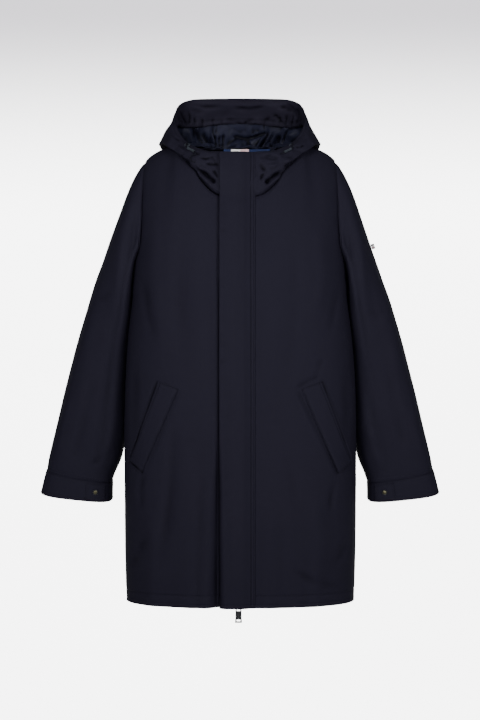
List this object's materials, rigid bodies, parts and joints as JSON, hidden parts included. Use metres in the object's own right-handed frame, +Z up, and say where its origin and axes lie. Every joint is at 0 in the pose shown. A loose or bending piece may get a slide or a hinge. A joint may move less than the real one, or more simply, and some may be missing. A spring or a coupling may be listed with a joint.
{
  "type": "hooded parka",
  "caption": "Thigh-length padded parka, worn form with no wearer: hood laid back, storm placket over a zip, slanted welt pockets and snapped cuffs.",
  "frame": {"origin": "between the wearer's shoulders, at the height of the neck seam, on the centre line", "axes": "+Z up towards the hood, the coat's front faces -Y, +X towards the wearer's left"},
  "size_m": [0.8472, 0.3553, 1.0977],
  "materials": {
    "outer_cloth": "matt woven shell",
    "lining": "smooth taffeta",
    "neck_tape": "woven tape",
    "label": "woven label",
    "zip_tape": "ribbed tape",
    "hardware": "dark gunmetal",
    "cord_lock": "satin slate",
    "cord": "braided"
  },
  "bodies": {
    "coat": {"back_left": "outer_cloth", "back_right": "outer_cloth", "cord_lock_left": "cord_lock", "cord_lock_right": "cord_lock", "cuff_left": "outer_cloth", "cuff_right": "outer_cloth", "cuff_snap_left": "hardware", "cuff_snap_right": "hardware", "cuff_tab_left": "outer_cloth", "cuff_tab_right": "outer_cloth", "drawcord_left": "cord", "drawcord_right": "cord", "eyelet_left": "hardware", "eyelet_right": "hardware", "front_left": "outer_cloth", "front_right": "outer_cloth", "hood_centre": "outer_cloth", "hood_facing": "outer_cloth", "hood_side_left": "outer_cloth", "hood_side_right": "outer_cloth", "lining_centre": "lining", "lining_side_left": "lining", "lining_side_right": "lining", "neck_label": "label", "neck_tape": "neck_tape", "placket": "outer_cloth", "pocket_welt_left": "outer_cloth", "pocket_welt_right": "outer_cloth", "sleeve_left": "outer_cloth", "sleeve_right": "outer_cloth", "sleeve_tab": "label", "zip_slider": "hardware", "zip_tape": "zip_tape"},
    "pull": {"zip_pull": "hardware"}
  },
  "joints": [
    {"name": "pull_swing", "type": "hinge", "parent": "coat", "child": "pull", "pos_m": [-0.003, -0.1467, -0.9358], "axis": [1, 0, 0], "range_deg": [-70, 70]}
  ]
}
